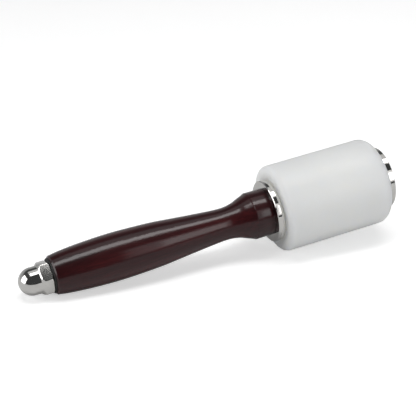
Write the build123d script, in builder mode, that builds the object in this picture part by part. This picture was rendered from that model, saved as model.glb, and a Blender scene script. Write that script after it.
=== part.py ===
from build123d import *
import math
import os

# Maul with a nylon barrel head on a turned wooden handle, clamped together by one bolt.
# Millimetres. Every piece is centred on the X axis: butt of the handle at -X, head at +X, +Z up.
# The origin is on the axis, half way along the nylon head.

# nylon head
head_length = 66.0
head_radius = 25.0
head_back_edge_radius = 3.5
head_front_edge_radius = 6.0

# the two plated discs that clamp the head
disc_radius = 17.8
disc_thickness = 4.2
disc_edge_chamfer = 0.4
hub_radius = 12.0
hub_depth = 2.5
hub_clearance = 0.1

# M10 bolt with a countersunk socket head
bolt_radius = 5.0
bolt_end_chamfer = 0.9
bolt_head_radius = 10.0
socket_across_flats = 6.0
socket_depth = 3.6
hole_radius = 5.25

# handle: the collar against the disc, the neck, the swell for the hand and the butt
collar_radius = 13.5
collar_length = 10.3
collar_edge = 0.3
neck_radius = 9.15
neck_to_disc = 26.9
swell_radius = 13.42
swell_to_disc = 90.0
butt_radius = 10.95
butt_bevel = 0.8
handle_length = 128.6

# washer and domed cap nut at the butt
washer_thickness = 0.8
washer_radius = 9.9
nut_across_flats = 17.0
nut_hex_length = 6.8
nut_base_slope = math.radians(30)
nut_base_land = 8.1
nut_front_slope = math.radians(45)
nut_front_land = 8.0
nut_dome_radius = 7.8
nut_dome_collar = 3.4
nut_bore_radius = 5.05
nut_bore_depth = 13.5
nut_mouth_chamfer = 0.7
nut_clocking = 41.0
thread_engagement = 11.2

# stations along the axis
head_back = -head_length / 2
head_front = head_length / 2
disc_front = head_front + disc_thickness
disc_back = head_back - disc_thickness
butt = disc_back - handle_length
nut_base = butt - washer_thickness
nut_shoulder = nut_base - nut_hex_length
nut_dome_centre = nut_shoulder - nut_dome_collar
nut_tip = nut_dome_centre - nut_dome_radius
bolt_end = nut_base - thread_engagement

os.makedirs("parts", exist_ok=True)


def save(part, name):
    """Labels a finished piece and writes it as its own STEP file."""
    part.label = name
    export_step(part, f"parts/{name}.step")


# A barrel with rounded edges, bored for the bolt and recessed for the end disc's hub.
with BuildPart() as head:
    with BuildSketch(Plane.YZ.offset(head_back)):
        Circle(head_radius)
    extrude(amount=head_length)
    rims = head.edges().filter_by(GeomType.CIRCLE).sort_by(Axis.X)
    fillet(rims[0], head_back_edge_radius)
    fillet(rims[-1], head_front_edge_radius)
    with BuildSketch(Plane.YZ.offset(head_back)):
        Circle(hole_radius)
    extrude(amount=head_length, mode=Mode.SUBTRACT)
    with BuildSketch(Plane.YZ.offset(head_front)):
        Circle(hub_radius + hub_clearance)
    extrude(amount=-(hub_depth + hub_clearance), mode=Mode.SUBTRACT)
save(head.part, "head")

# A flat ring between the handle's collar and the head.
with BuildPart() as collar_disc:
    with BuildSketch(Plane.YZ.offset(disc_back)):
        Circle(disc_radius)
    extrude(amount=disc_thickness)
    chamfer(collar_disc.edges().filter_by(GeomType.CIRCLE), disc_edge_chamfer)
    with BuildSketch(Plane.YZ.offset(disc_back)):
        Circle(hole_radius)
    extrude(amount=disc_thickness, mode=Mode.SUBTRACT)
save(collar_disc.part, "collar_disc")

# The disc at the head's far end. Its hub sits in the head's recess and, with the disc,
# is thick enough to take the bolt's countersunk head.
with BuildPart() as end_disc:
    with BuildSketch(Plane.YZ.offset(head_front)):
        Circle(disc_radius)
    extrude(amount=disc_thickness)
    chamfer(end_disc.edges().filter_by(GeomType.CIRCLE), disc_edge_chamfer)
    with BuildSketch(Plane.YZ.offset(head_front)):
        Circle(hub_radius)
    extrude(amount=-hub_depth)
    with BuildSketch(Plane.XY):
        with BuildLine():
            Polyline(
                (head_front - hub_depth, 0),
                (head_front - hub_depth, hole_radius),
                (disc_front - bolt_head_radius + hole_radius, hole_radius),
                (disc_front, bolt_head_radius),
                (disc_front, 0),
                close=True,
            )
        make_face()
    revolve(axis=Axis.X, mode=Mode.SUBTRACT)
save(end_disc.part, "end_disc")

# The bolt runs the whole length, from the end disc's face into the cap nut.
with BuildPart() as tie_bolt:
    with BuildSketch(Plane.XY):
        with BuildLine():
            Polyline(
                (bolt_end, 0),
                (bolt_end, bolt_radius - bolt_end_chamfer),
                (bolt_end + bolt_end_chamfer, bolt_radius),
                (disc_front - bolt_head_radius + bolt_radius, bolt_radius),
                (disc_front, bolt_head_radius),
                (disc_front, 0),
                close=True,
            )
        make_face()
    revolve(axis=Axis.X)
    with BuildSketch(Plane.YZ.offset(disc_front)):
        RegularPolygon(socket_across_flats / 2, 6, major_radius=False)
    extrude(amount=-socket_depth, mode=Mode.SUBTRACT)
save(tie_bolt.part, "tie_bolt")

# The turned handle: a short bevel at the butt, a long swell, a slim neck,
# a cove that rises to a crisp shoulder, and a straight collar against the disc.
neck = disc_back - neck_to_disc
swell = disc_back - swell_to_disc
shoulder = disc_back - collar_length
with BuildPart() as handle:
    with BuildSketch(Plane.XY):
        with BuildLine():
            Polyline(
                (butt + butt_bevel, butt_radius),
                (butt, butt_radius - butt_bevel),
                (butt, hole_radius),
                (disc_back, hole_radius),
                (disc_back, collar_radius),
                (shoulder + collar_edge, collar_radius),
                (shoulder, collar_radius - collar_edge),
            )
            Spline(
                (shoulder, collar_radius - collar_edge),
                (shoulder - 4.2, 11.7),
                (shoulder - 9.2, 9.95),
                (neck, neck_radius),
                tangents=((-2, -1), (-1, 0)),
            )
            Spline(
                (neck, neck_radius),
                (neck - 14.1, 10.16),
                (neck - 28.0, 11.47),
                (neck - 41.9, 12.70),
                (swell, swell_radius),
                tangents=((-1, 0), (-1, 0)),
            )
            Spline(
                (swell, swell_radius),
                (swell - 17.4, 12.96),
                (swell - 30.8, 11.94),
                (butt + butt_bevel, butt_radius),
                tangents=((-1, 0), (-1, -0.6)),
            )
        make_face()
    revolve(axis=Axis.X)
save(handle.part, "handle")

# A thin washer keeps the nut off the end grain.
with BuildPart() as butt_washer:
    with BuildSketch(Plane.YZ.offset(nut_base)):
        Circle(washer_radius)
        Circle(hole_radius, mode=Mode.SUBTRACT)
    extrude(amount=washer_thickness)
save(butt_washer.part, "butt_washer")

# The hexagon's corners are cut by a cone at each end, and a dome stands on it.
outside = nut_across_flats / math.sqrt(3) + 0.4
base_rise = (outside - nut_base_land) * math.tan(nut_base_slope)
front_rise = (outside - nut_front_land) * math.tan(nut_front_slope)
with BuildPart() as cap_nut:
    with BuildSketch(Plane.YZ.offset(nut_base)):
        RegularPolygon(nut_across_flats / 2, 6, major_radius=False, rotation=nut_clocking)
    extrude(amount=-nut_hex_length)
    with BuildSketch(Plane.XY):
        with BuildLine():
            Polyline(
                (nut_base, 0),
                (nut_base, nut_base_land),
                (nut_base - base_rise, outside),
                (nut_shoulder + front_rise, outside),
                (nut_shoulder, nut_front_land),
                (nut_shoulder, 0),
                close=True,
            )
        make_face()
    revolve(axis=Axis.X, mode=Mode.INTERSECT)
    with BuildSketch(Plane.XY):
        with BuildLine():
            Line((nut_shoulder + 1, 0), (nut_shoulder + 1, nut_dome_radius))
            Line((nut_shoulder + 1, nut_dome_radius), (nut_dome_centre, nut_dome_radius))
            JernArc((nut_dome_centre, nut_dome_radius), (-1, 0), nut_dome_radius, 90)
            Line((nut_tip, 0), (nut_shoulder + 1, 0))
        make_face()
    revolve(axis=Axis.X)
    with BuildSketch(Plane.YZ.offset(nut_base)):
        Circle(nut_bore_radius)
    extrude(amount=-nut_bore_depth, mode=Mode.SUBTRACT)
    mouth = cap_nut.edges().filter_by(GeomType.CIRCLE).group_by(Axis.X)[-1].sort_by(SortBy.RADIUS)[0]
    chamfer(mouth, nut_mouth_chamfer)
save(cap_nut.part, "cap_nut")

print(f"overall {disc_front - nut_tip:.1f} mm, bolt {disc_front - bolt_end:.1f} mm")
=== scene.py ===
import math

import bmesh
import bpy
from mathutils import Matrix, Vector


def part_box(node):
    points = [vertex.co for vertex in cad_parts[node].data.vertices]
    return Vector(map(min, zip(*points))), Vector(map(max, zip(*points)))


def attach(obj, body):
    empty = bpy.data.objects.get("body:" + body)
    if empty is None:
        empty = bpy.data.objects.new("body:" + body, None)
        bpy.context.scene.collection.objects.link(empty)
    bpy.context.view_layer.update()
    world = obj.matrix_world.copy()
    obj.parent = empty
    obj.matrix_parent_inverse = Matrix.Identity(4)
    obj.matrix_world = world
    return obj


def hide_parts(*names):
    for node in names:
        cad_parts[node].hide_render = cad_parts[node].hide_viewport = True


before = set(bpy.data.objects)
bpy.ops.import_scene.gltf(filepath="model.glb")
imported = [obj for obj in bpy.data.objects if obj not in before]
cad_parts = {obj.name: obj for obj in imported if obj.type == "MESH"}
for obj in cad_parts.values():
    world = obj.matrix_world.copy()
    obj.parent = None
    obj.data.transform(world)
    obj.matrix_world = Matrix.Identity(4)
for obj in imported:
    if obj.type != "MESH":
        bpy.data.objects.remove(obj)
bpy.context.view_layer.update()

# Metres, in the CAD frame: the maul's axis is X, butt at -X, head at +X.
MM = 0.001
TAU = 2 * math.pi

# How the maul lies: on the edge of its head and the round of its butt.
LIE_TILT = math.radians(5.82)
# Where the camera stands, measured round and above the floor that the maul lies on.
CAMERA_AZIMUTH = math.radians(-23.44)
CAMERA_ELEVATION = math.radians(26.78)
CAMERA_DISTANCE = 0.9078
CAMERA_ASIDE = 0.0365
CAMERA_BELOW = 0.0009
CAMERA_LENS = 138.5

ROUND_STEPS = 192
SHARP = math.radians(28)


# ---------------------------------------------------------------- mesh helpers

def mesh_object(name, bm, smooth=True):
    """Turns a bmesh into a scene object with clean outward normals."""
    bmesh.ops.remove_doubles(bm, verts=bm.verts, dist=1e-6)
    bmesh.ops.dissolve_degenerate(bm, edges=bm.edges, dist=1e-7)
    bmesh.ops.recalc_face_normals(bm, faces=bm.faces)
    for face in bm.faces:
        face.smooth = smooth
    for edge in bm.edges:
        if len(edge.link_faces) == 2 and edge.calc_face_angle(0) > SHARP:
            edge.smooth = False
    mesh = bpy.data.meshes.new(name)
    bm.to_mesh(mesh)
    bm.free()
    piece = bpy.data.objects.new(name, mesh)
    bpy.context.collection.objects.link(piece)
    return piece


def rounded(corners, steps=6):
    """An open outline of (x, r) points. A corner given as (x, r, radius) is turned into an arc."""
    outline = []
    for i, corner in enumerate(corners):
        here = Vector(corner[:2])
        if len(corner) < 3 or i in (0, len(corners) - 1):
            outline.append(here)
            continue
        before = (Vector(corners[i - 1][:2]) - here).normalized()
        after = (Vector(corners[i + 1][:2]) - here).normalized()
        half = before.angle(after) / 2
        centre = here + (before + after).normalized() * (corner[2] / math.sin(half))
        reach = corner[2] / math.tan(half)
        start = here + before * reach - centre
        end = here + after * reach - centre
        sweep = start.angle(end)
        for k in range(steps + 1):
            t = k / steps
            mix = (start * math.sin((1 - t) * sweep) + end * math.sin(t * sweep)) / math.sin(sweep)
            outline.append(centre + mix)
    return outline


def lathe(bm, outline, steps=ROUND_STEPS, closed=False):
    """Turns an (x, r) outline about the X axis."""
    rings = []
    for x, r in outline:
        if r < 1e-7:
            rings.append([bm.verts.new((x, 0, 0))])
            continue
        ring = []
        for k in range(steps):
            a = TAU * k / steps
            ring.append(bm.verts.new((x, r * math.cos(a), r * math.sin(a))))
        rings.append(ring)
    pairs = list(zip(rings, rings[1:]))
    if closed:
        pairs.append((rings[-1], rings[0]))
    for one, two in pairs:
        bridge(bm, one, two)


def bridge(bm, one, two):
    """Joins two rings of the same count, or a ring and a single point, with faces."""
    count = max(len(one), len(two))
    for k in range(count):
        n = (k + 1) % count
        if len(one) == 1:
            bm.faces.new((one[0], two[n], two[k]))
        elif len(two) == 1:
            bm.faces.new((one[k], one[n], two[0]))
        else:
            bm.faces.new((one[k], one[n], two[n], two[k]))


def smooth_curve(knots, steps):
    """Points along a smooth line through the knots, a Catmull-Rom curve."""
    points = []
    padded = [2 * knots[0] - knots[1]] + knots + [2 * knots[-1] - knots[-2]]
    for a, b, c, d in zip(padded, padded[1:], padded[2:], padded[3:]):
        for k in range(steps):
            t = k / steps
            points.append(0.5 * (2 * b + (c - a) * t + (2 * a - 5 * b + 4 * c - d) * t * t
                                 + (3 * b - a - 3 * c + d) * t ** 3))
    points.append(knots[-1])
    return points


# ---------------------------------------------------------------- node helpers

class Nodes:
    """A short way to write a material's node tree."""

    def __init__(self, name):
        self.material = bpy.data.materials.new(name)
        self.material.use_nodes = True
        self.tree = self.material.node_tree
        self.shader = self.tree.nodes["Principled BSDF"]
        self.coords = self.tree.nodes.new("ShaderNodeTexCoord").outputs["Object"]

    def add(self, kind, inputs=(), **settings):
        node = self.tree.nodes.new(kind)
        for key, value in settings.items():
            setattr(node, key, value)
        for key, value in dict(inputs).items():
            if isinstance(value, bpy.types.NodeSocket):
                self.tree.links.new(value, node.inputs[key])
            else:
                node.inputs[key].default_value = value
        return node

    def stretched(self, scale):
        return self.add("ShaderNodeMapping", {"Vector": self.coords, "Scale": scale}).outputs[0]

    def noise(self, vector, scale, detail=3.0, roughness=0.5, distortion=0.0):
        return self.add("ShaderNodeTexNoise", {"Vector": vector, "Scale": scale, "Detail": detail,
                                               "Roughness": roughness, "Distortion": distortion}).outputs[0]

    def ramp(self, value, *stops):
        node = self.add("ShaderNodeValToRGB", {"Fac": value})
        elements = node.color_ramp.elements
        while len(elements) < len(stops):
            elements.new(0.5)
        for element, (place, colour) in zip(elements, stops):
            element.position = place
            element.color = (*colour, 1)
        return node.outputs[0]

    def span(self, value, low, high, new_low, new_high):
        return self.add("ShaderNodeMapRange", {0: value, 1: low, 2: high, 3: new_low, 4: new_high}).outputs[0]

    def maths(self, operation, a, b=0.0):
        return self.add("ShaderNodeMath", {0: a, 1: b}, operation=operation).outputs[0]

    def bump(self, height, strength, distance, normal=None):
        inputs = {"Height": height, "Strength": strength, "Distance": distance}
        if normal is not None:
            inputs["Normal"] = normal
        return self.add("ShaderNodeBump", inputs).outputs[0]

    def radius(self):
        """Distance from the maul's axis."""
        split = self.add("ShaderNodeSeparateXYZ", {0: self.coords})
        square = self.maths("ADD", self.maths("MULTIPLY", split.outputs[1], split.outputs[1]),
                            self.maths("MULTIPLY", split.outputs[2], split.outputs[2]))
        return self.maths("SQRT", square)

    def along(self):
        """Distance along the maul's axis."""
        return self.add("ShaderNodeSeparateXYZ", {0: self.coords}).outputs[0]

    def join(self, **inputs):
        """Links or sets the shader's inputs, named with _ for a space."""
        for key, value in inputs.items():
            socket = self.shader.inputs[key.replace("_", " ")]
            if isinstance(value, bpy.types.NodeSocket):
                self.tree.links.new(value, socket)
            else:
                socket.default_value = value


# ---------------------------------------------------------------- materials

def nylon_material():
    """Off-white cast nylon: soft sheen, light sinks in a little, faint turning marks and dents."""
    n = Nodes("nylon")
    cloud = n.noise(n.coords, 22.0, 2.0)
    colour = n.ramp(cloud, (0.3, (0.700, 0.708, 0.702)), (0.7, (0.730, 0.738, 0.732)))
    turning = n.noise(n.stretched((2600.0, 18.0, 18.0)), 1.0, 2.0)
    scuffs = n.noise(n.coords, 160.0, 3.0, 0.6)
    bump = n.bump(scuffs, 0.10, 0.0006)
    bump = n.bump(turning, 0.05, 0.0002, bump)
    n.join(Base_Color=colour, Roughness=n.span(scuffs, 0.3, 0.7, 0.42, 0.52), Normal=bump,
           Subsurface_Weight=1.0, Subsurface_Scale=0.040, Specular_IOR_Level=0.42, IOR=1.53)
    n.shader.inputs["Subsurface Radius"].default_value = (1.0, 0.95, 0.85)
    return n.material


def wood_material():
    """Dark red stained hardwood under gloss lacquer, the pores just showing through."""
    n = Nodes("lacquered_wood")
    rings = n.noise(n.stretched((6.0, 95.0, 60.0)), 1.0, 4.0, 0.55, 0.6)
    fibre = n.noise(n.stretched((70.0, 1300.0, 1300.0)), 1.0, 3.0, 0.6)
    pores = n.noise(n.stretched((240.0, 2600.0, 2600.0)), 1.0, 2.0, 0.5)
    tone = n.maths("ADD", n.maths("MULTIPLY", rings, 0.7), n.maths("MULTIPLY", fibre, 0.3))
    colour = n.ramp(tone, (0.34, (0.011, 0.0018, 0.0024)), (0.50, (0.027, 0.0028, 0.0038)),
                    (0.66, (0.055, 0.0048, 0.0058)))
    ripple = n.noise(n.stretched((60.0, 240.0, 240.0)), 1.0, 2.0)
    base_bump = n.bump(pores, 0.25, 0.00015)
    speckle = n.noise(n.stretched((420.0, 1500.0, 1500.0)), 1.0, 3.0, 0.6)
    coat_bump = n.bump(pores, 0.12, 0.0001, n.bump(speckle, 0.30, 0.0001, n.bump(ripple, 0.12, 0.0002)))
    n.join(Base_Color=colour, Roughness=n.span(fibre, 0.3, 0.7, 0.38, 0.5), Normal=base_bump,
           Specular_IOR_Level=0.1, Coat_Weight=1.0, Coat_Roughness=0.11, Coat_IOR=1.38, Coat_Normal=coat_bump)
    return n.material


def nickel_material(name, turned_face=False, satin_from=None):
    """Polished nickel plate with faint polishing lines.

    turned_face gives fine rings on flat faces. satin_from is the station past which the finish is satin.
    """
    n = Nodes(name)
    haze = n.noise(n.coords, 260.0, 3.0, 0.6)
    lines = n.noise(n.stretched((5200.0, 60.0, 60.0)), 1.0, 2.0)
    bump = n.bump(lines, 0.03, 0.00006)
    if turned_face:
        rings = n.add("ShaderNodeTexNoise", {"W": n.maths("MULTIPLY", n.radius(), 3200.0), "Scale": 1.0,
                                             "Detail": 2.0}, noise_dimensions="1D").outputs[0]
        bump = n.bump(rings, 0.05, 0.00008, bump)
    colour = n.ramp(haze, (0.3, (0.610, 0.602, 0.580)), (0.7, (0.650, 0.642, 0.622)))
    roughness = n.span(haze, 0.35, 0.65, 0.045, 0.085)
    if satin_from is not None:
        satin = n.span(n.along(), satin_from, satin_from + 0.3 * MM, 0.0, 0.13)
        roughness = n.maths("ADD", roughness, satin)
    n.join(Base_Color=colour, Metallic=1.0, Roughness=roughness, Normal=bump)
    return n.material


def washer_material():
    """Matt black fibre washer."""
    n = Nodes("black_washer")
    speck = n.noise(n.coords, 900.0, 3.0, 0.6)
    colour = n.ramp(speck, (0.3, (0.006, 0.006, 0.006)), (0.7, (0.014, 0.014, 0.013)))
    n.join(Base_Color=colour, Roughness=n.span(speck, 0.3, 0.7, 0.5, 0.7), Normal=n.bump(speck, 0.3, 0.0001))
    return n.material


def steel_material():
    """Bright zinc plated steel for the bolt."""
    n = Nodes("bolt_steel")
    grain = n.noise(n.coords, 700.0, 3.0, 0.6)
    drawn = n.noise(n.stretched((3000.0, 90.0, 90.0)), 1.0, 2.0)
    colour = n.ramp(grain, (0.3, (0.50, 0.50, 0.49)), (0.7, (0.58, 0.58, 0.575)))
    n.join(Base_Color=colour, Metallic=1.0, Roughness=n.span(grain, 0.3, 0.7, 0.20, 0.26),
           Normal=n.bump(drawn, 0.03, 0.0001))
    return n.material


# ---------------------------------------------------------------- pieces

def finish_piece(piece, material, node, body):
    """Gives a piece its material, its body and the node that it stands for."""
    piece.data.materials.append(material)
    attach(piece, body)
    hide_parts(node)
    return piece


HOLE = 5.25 * MM
BACK_EDGE = 3.5 * MM
FRONT_EDGE = 6 * MM
HUB = 12 * MM
HUB_GAP = 0.1 * MM
DISC_EDGE = 0.4 * MM
DISC_SOFT = 0.12 * MM


def make_head(material):
    """The nylon barrel, with a recess for the end disc's hub. Its long faces are cut into 3 mm steps."""
    low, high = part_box("head")
    radius = high.z
    hub = HUB + HUB_GAP
    hub_floor = high.x - 2.5 * MM - HUB_GAP
    corners = [(low.x, HOLE), (low.x, radius, BACK_EDGE), (high.x, radius, FRONT_EDGE),
               (high.x, hub, 0.15 * MM), (hub_floor, hub), (hub_floor, HOLE), (low.x, HOLE)]
    outline = rounded(corners, 12)
    long_side = []
    for a, b in zip(outline, outline[1:]):
        steps = max(1, int((b - a).length / (3 * MM)))
        long_side += [a.lerp(b, k / steps) for k in range(steps)]
    bm = bmesh.new()
    lathe(bm, long_side, closed=True)
    piece = mesh_object("nylon_head", bm)
    return finish_piece(piece, material, "head", "maul")


def disc_rim(back, front, radius):
    """The chamfered rim of a plated disc, its corners a little softened."""
    inner = radius - DISC_EDGE
    return [(back, inner, DISC_SOFT), (back + DISC_EDGE, radius, DISC_SOFT),
            (front - DISC_EDGE, radius, DISC_SOFT), (front, inner, DISC_SOFT)]


def make_collar_disc(material):
    low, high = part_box("collar_disc")
    corners = [(low.x, HOLE)] + disc_rim(low.x, high.x, high.z) + [(high.x, HOLE)]
    bm = bmesh.new()
    lathe(bm, rounded(corners, 4), closed=True)
    piece = mesh_object("collar_disc_plate", bm)
    return finish_piece(piece, material, "collar_disc", "maul")


def make_end_disc(material):
    """The disc at the head's far end, with its hub and the countersink for the bolt."""
    low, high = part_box("end_disc")
    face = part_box("head")[1].x
    sink = 10.05 * MM
    corners = [(high.x, sink)] + disc_rim(face, high.x, high.z)[::-1] + [
        (face, HUB), (low.x, HUB), (low.x, HOLE), (high.x - sink + HOLE, HOLE)]
    bm = bmesh.new()
    lathe(bm, rounded(corners, 4), closed=True)
    piece = mesh_object("end_disc_plate", bm)
    return finish_piece(piece, material, "end_disc", "maul")


def handle_outline():
    """Half section of the turned handle, from the butt to the collar disc."""
    low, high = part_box("handle")
    front = high.x
    collar = 13.5 * MM
    edge = 0.3 * MM
    shoulder = front - 10.3 * MM
    neck = front - 26.9 * MM
    swell = front - 90.0 * MM
    bevel = 0.8 * MM
    butt_radius = 10.95 * MM
    butt = [(low.x, HOLE), (low.x, butt_radius - bevel, 0.3 * MM), (low.x + bevel, butt_radius)]
    knots = [Vector((x, r)) for x, r in (
        (low.x + bevel, butt_radius), (swell - 30.8 * MM, 11.94 * MM), (swell - 17.4 * MM, 12.96 * MM),
        (swell, 13.42 * MM), (neck - 41.9 * MM, 12.70 * MM), (neck - 28.0 * MM, 11.47 * MM),
        (neck - 14.1 * MM, 10.16 * MM), (neck, 9.15 * MM), (shoulder - 9.2 * MM, 9.95 * MM),
        (shoulder - 4.2 * MM, 11.7 * MM), (shoulder, collar - edge))]
    body = smooth_curve(knots, 14)
    end = rounded([(shoulder, collar - edge), (shoulder + edge, collar, 0.2 * MM),
                   (front, collar, 0.3 * MM), (front, HOLE)], 4)
    return rounded(butt, 4)[:-1] + body + end[1:]


def make_handle(material):
    bm = bmesh.new()
    lathe(bm, handle_outline(), closed=True)
    piece = mesh_object("turned_handle", bm)
    return finish_piece(piece, material, "handle", "maul")


def make_washer(material):
    low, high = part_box("butt_washer")
    corners = [(low.x, HOLE), (low.x, high.z, 0.25 * MM), (high.x, high.z, 0.25 * MM), (high.x, HOLE)]
    bm = bmesh.new()
    lathe(bm, rounded(corners, 4), closed=True)
    piece = mesh_object("butt_washer_ring", bm)
    return finish_piece(piece, material, "butt_washer", "washer")


NUT_FLAT = 8.5 * MM
NUT_CLOCKING = math.radians(41.0)
NUT_CORNER_ROUND = 0.5 * MM
NUT_BORE = 5.05 * MM
NUT_BORE_DEPTH = 13.5 * MM
DOME_STEPS = 31


def hexagon():
    """(angle, radius) round a hexagon with rounded corners, the corners finely divided."""
    half_side = math.radians(30)
    centre = (NUT_FLAT - NUT_CORNER_ROUND) / math.cos(half_side)
    points = []
    for side in range(6):
        corner = math.radians(60 * side) + NUT_CLOCKING
        for k in range(-4, 5):
            turn = half_side * k / 4
            x = centre + NUT_CORNER_ROUND * math.cos(turn)
            y = NUT_CORNER_ROUND * math.sin(turn)
            points.append((corner + math.atan2(y, x), math.hypot(x, y)))
        first = math.atan2(NUT_CORNER_ROUND * 0.5, centre + NUT_CORNER_ROUND * math.cos(half_side))
        for k in range(1, 20):
            a = first + (math.radians(60) - 2 * first) * k / 20
            points.append((corner + a, NUT_FLAT / math.cos(a - half_side)))
    return points


def make_nut(material):
    """The hexagon, its corners cut by a cone at each end, with the dome on it and a blind bore."""
    low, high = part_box("cap_nut")
    base = high.x
    shoulder = base - 6.8 * MM
    base_land = 8.1 * MM
    front_land = 8.0 * MM
    slope = math.tan(math.radians(30))
    dome = 7.8 * MM
    dome_centre = low.x + dome
    soft = 0.10 * MM
    hexa = hexagon()
    bm = bmesh.new()

    def ring(place):
        """A ring round the nut. place takes the hexagon's radius at a point and gives (x, r)."""
        made = []
        for a, r in hexa:
            x, radius = place(r)
            made.append(bm.verts.new((x, radius * math.cos(a), radius * math.sin(a))))
        return made

    def flat_ring(x, radius):
        return ring(lambda r: (x, radius))

    def base_cut(r):
        return max(0.0, r - base_land) * slope

    def front_cut(r):
        return max(0.0, r - front_land)

    mouth = 0.7 * MM
    rings = [
        flat_ring(base - 6 * MM, NUT_BORE), flat_ring(base - mouth, NUT_BORE),
        flat_ring(base, NUT_BORE + mouth), flat_ring(base, base_land - soft),
        flat_ring(base - 0.35 * soft * slope, base_land + 0.3 * soft),
        ring(lambda r: (base - base_cut(r - soft), r - soft)),
        ring(lambda r: (base - base_cut(r) - 0.25 * soft, r - 0.2 * soft)),
        ring(lambda r: (base - base_cut(r) - 1.1 * soft, r)),
        ring(lambda r: (shoulder + front_cut(r) + 1.1 * soft, r)),
        ring(lambda r: (shoulder + front_cut(r) + 0.25 * soft, r - 0.2 * soft)),
        ring(lambda r: (shoulder + front_cut(r - soft), r - soft)),
        flat_ring(shoulder + 0.02 * MM, front_land), flat_ring(shoulder - 0.12 * MM, dome + 0.04 * MM),
        flat_ring(shoulder - 0.40 * MM, dome),
    ]
    for k in range(DOME_STEPS):
        a = math.radians(90) * k / DOME_STEPS
        rings.append(flat_ring(dome_centre - dome * math.sin(a), dome * math.cos(a)))
    rings.append([bm.verts.new((low.x, 0, 0))])
    floor = base - NUT_BORE_DEPTH
    inner = [flat_ring(floor, NUT_BORE), [bm.verts.new((floor, 0, 0))]]
    bridge(bm, rings[0], inner[0])
    bridge(bm, *inner)
    for one, two in zip(rings, rings[1:]):
        bridge(bm, one, two)
    piece = mesh_object("domed_cap_nut", bm)
    return finish_piece(piece, material, "cap_nut", "nut")


THREAD_PITCH = 1.5 * MM
THREAD_DEPTH = 0.92 * MM
THREAD_LENGTH = 30 * MM
ROWS_PER_TURN = 14


def make_bolt(material):
    """Countersunk socket bolt, with its M10 thread as a helix round the end of the shank."""
    low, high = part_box("tie_bolt")
    major = 5.0 * MM
    run_out = 2 * MM
    tip = 0.9 * MM
    columns = 72
    bm = bmesh.new()

    def depth(x, a):
        """How deep the thread is cut below the crest at x, at angle a round the axis."""
        phase = ((x - low.x) / THREAD_PITCH + a / TAU) % 1.0
        cut = min(1.0, max(0.0, (0.5 - abs(phase - 0.5)) * 2.4 - 0.14))
        fade = min(1.0, max(0.0, (low.x + THREAD_LENGTH - x) / run_out))
        return THREAD_DEPTH * cut * fade

    def ring(x, top):
        made = []
        for k in range(columns):
            a = TAU * k / columns
            r = min(top, major - depth(x, a))
            made.append(bm.verts.new((x, r * math.cos(a), r * math.sin(a))))
        return made

    rings = [[bm.verts.new((low.x, 0, 0))]]
    rows = int(THREAD_LENGTH / (THREAD_PITCH / ROWS_PER_TURN))
    for i in range(rows + 1):
        x = low.x + THREAD_LENGTH * i / rows
        rings.append(ring(x, major - tip + min(tip, x - low.x)))
    rings.append(ring(high.x - 5 * MM, major))
    rings.append(ring(high.x - 0.2 * MM, major + 4.8 * MM))

    def disc(x, r):
        return [bm.verts.new((x, r * math.cos(TAU * k / columns), r * math.sin(TAU * k / columns)))
                for k in range(columns)]

    def socket(x):
        """A ring round the hexagon socket, 6 mm across flats."""
        made = []
        for k in range(columns):
            a = TAU * k / columns
            r = 3 * MM / math.cos((a + math.radians(30)) % math.radians(60) - math.radians(30))
            made.append(bm.verts.new((x, r * math.cos(a), r * math.sin(a))))
        return made

    rings += [disc(high.x - 0.2 * MM, 9.88 * MM), disc(high.x, 9.7 * MM), disc(high.x, 4.0 * MM),
              disc(high.x, 3.85 * MM), socket(high.x - 0.35 * MM), socket(high.x - 3.6 * MM),
              [bm.verts.new((high.x - 4.6 * MM, 0, 0))]]
    for one, two in zip(rings, rings[1:]):
        bridge(bm, one, two)
    piece = mesh_object("through_bolt", bm)
    return finish_piece(piece, material, "tie_bolt", "maul")


# ---------------------------------------------------------------- stage

def level(vector):
    """From the frame in which the floor is level to the maul's own frame."""
    return Matrix.Rotation(LIE_TILT, 3, "Y") @ Vector(vector)


def make_floor():
    """The pale floor under the maul. Only the camera sees the white that it adds."""
    low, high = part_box("head")
    up = level((0, 0, 1))
    drop = (-low.x - BACK_EDGE) * math.sin(LIE_TILT) + (high.z - BACK_EDGE) * math.cos(LIE_TILT)
    drop += BACK_EDGE + 0.05 * MM
    bm = bmesh.new()
    bmesh.ops.create_grid(bm, x_segments=24, y_segments=24, size=3.0)
    floor = mesh_object("floor", bm)
    floor.matrix_world = Matrix.Translation(-up * drop) @ Matrix.Rotation(LIE_TILT, 4, "Y")
    n = Nodes("floor")
    mottle = n.noise(n.coords, 40.0, 2.0)
    seen = n.add("ShaderNodeLightPath").outputs["Is Camera Ray"]
    n.join(Base_Color=n.ramp(mottle, (0.3, (0.72, 0.72, 0.72)), (0.7, (0.73, 0.73, 0.73))), Roughness=0.8,
           Specular_IOR_Level=0.1, Emission_Color=(1, 1, 1, 1),
           Emission_Strength=n.maths("MULTIPLY", seen, 0.49))
    floor.data.materials.append(n.material)


def softbox(name, place, target, width, height, radiance):
    """A rectangular light. radiance is how bright its face is beside the others, whatever its size."""
    light = bpy.data.lights.new(name, "AREA")
    light.shape = "RECTANGLE"
    light.size = width
    light.size_y = height
    light.energy = 2.4 * width * height * radiance
    lamp = bpy.data.objects.new(name, light)
    bpy.context.collection.objects.link(lamp)
    lamp.location = place
    lamp.rotation_mode = "QUATERNION"
    lamp.rotation_quaternion = (Vector(target) - Vector(place)).to_track_quat("-Z", "Y")
    lamp.visible_camera = False
    return lamp


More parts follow.
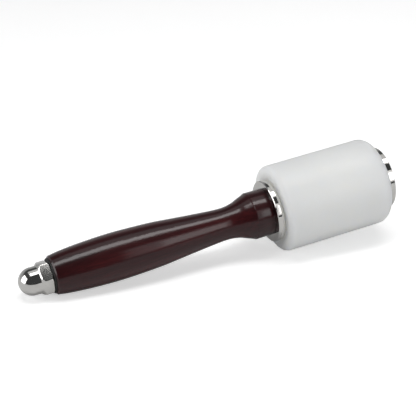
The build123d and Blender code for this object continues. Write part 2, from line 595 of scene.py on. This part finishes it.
def make_lights():
    """Two lamps overhead, one at the butt, two in front, and a fill that reflections don't show."""
    softbox("top_softbox", (0.10, 0.13, 0.90), (0.10, 0.13, 0.0), 1.0, 0.8, 0.85)
    softbox("top_lamp", (0.14, -0.05, 0.89), (0.14, -0.05, 0.0), 0.9, 0.27, 6.8)
    softbox("butt_softbox", (-0.90, 0.11, 0.34), (-0.17, 0.05, 0.0), 0.7, 0.68, 4.0)
    softbox("front_softbox", (0.43, -0.72, 0.34), (0.43, 0.0, 0.0), 0.64, 0.62, 1.3)
    softbox("front_lamp", (0.46, -0.71, 0.32), (0.46, 0.0, 0.0), 0.46, 0.40, 2.4)
    fill = softbox("fill", (0.12, -0.90, 0.28), (0.0, 0.0, 0.0), 0.8, 0.5, 2.0)
    fill.visible_glossy = False


def make_world():
    """A dim room with one brighter wall towards +Y, fading at the ceiling. The camera sees white instead."""
    world = bpy.data.worlds.new("studio")
    world.use_nodes = True
    tree = world.node_tree
    nodes, links = tree.nodes, tree.links
    background = nodes["Background"]
    coords = nodes.new("ShaderNodeTexCoord")
    split = nodes.new("ShaderNodeSeparateXYZ")
    span = nodes.new("ShaderNodeMapRange")
    ceiling = nodes.new("ShaderNodeMapRange")
    wall = nodes.new("ShaderNodeMath")
    room = nodes.new("ShaderNodeMath")
    links.new(coords.outputs["Generated"], split.inputs[0])
    links.new(split.outputs[1], span.inputs[0])
    links.new(split.outputs[2], ceiling.inputs[0])
    for key, value in enumerate((-0.15, 0.35, 0.0, 0.38), 1):
        span.inputs[key].default_value = value
    for key, value in enumerate((0.35, 0.60, 1.0, 0.05), 1):
        ceiling.inputs[key].default_value = value
    wall.operation = "MULTIPLY"
    links.new(span.outputs[0], wall.inputs[0])
    links.new(ceiling.outputs[0], wall.inputs[1])
    room.inputs[1].default_value = 0.06
    links.new(wall.outputs[0], room.inputs[0])
    background.inputs["Color"].default_value = (0.97, 0.985, 1.0, 1)
    seen = nodes.new("ShaderNodeLightPath")
    mix = nodes.new("ShaderNodeMix")
    mix.data_type = "FLOAT"
    mix.inputs["B"].default_value = 1.05
    links.new(seen.outputs["Is Camera Ray"], mix.inputs["Factor"])
    links.new(room.outputs[0], mix.inputs["A"])
    links.new(mix.outputs[0], background.inputs["Strength"])
    bpy.context.scene.world = world


def make_camera():
    heading = Matrix.Rotation(CAMERA_AZIMUTH, 3, "Z")
    back = level(heading @ Vector((0, -math.cos(CAMERA_ELEVATION), math.sin(CAMERA_ELEVATION))))
    right = level(heading @ Vector((1, 0, 0)))
    up = back.cross(right)
    aim = Vector((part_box("head")[0].x, 0, 0)) - right * CAMERA_ASIDE + up * CAMERA_BELOW
    camera = bpy.data.objects.new("camera", bpy.data.cameras.new("camera"))
    camera.data.lens = CAMERA_LENS
    camera.data.sensor_width = 36
    camera.data.clip_start = 0.05
    camera.data.clip_end = 20
    camera.matrix_world = Matrix.Translation(aim + back * CAMERA_DISTANCE) @ Matrix(
        (right, up, back)).transposed().to_4x4()
    bpy.context.collection.objects.link(camera)
    bpy.context.scene.camera = camera


nickel_discs = nickel_material("nickel_discs", turned_face=True)
nickel_nut = nickel_material("nickel_nut", satin_from=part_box("cap_nut")[1].x - 5.9 * MM)
make_head(nylon_material())
make_collar_disc(nickel_discs)
make_end_disc(nickel_discs)
make_handle(wood_material())
make_washer(washer_material())
make_nut(nickel_nut)
make_bolt(steel_material())
make_floor()
make_lights()
make_world()
make_camera()
bpy.context.scene.view_settings.view_transform = "Standard"
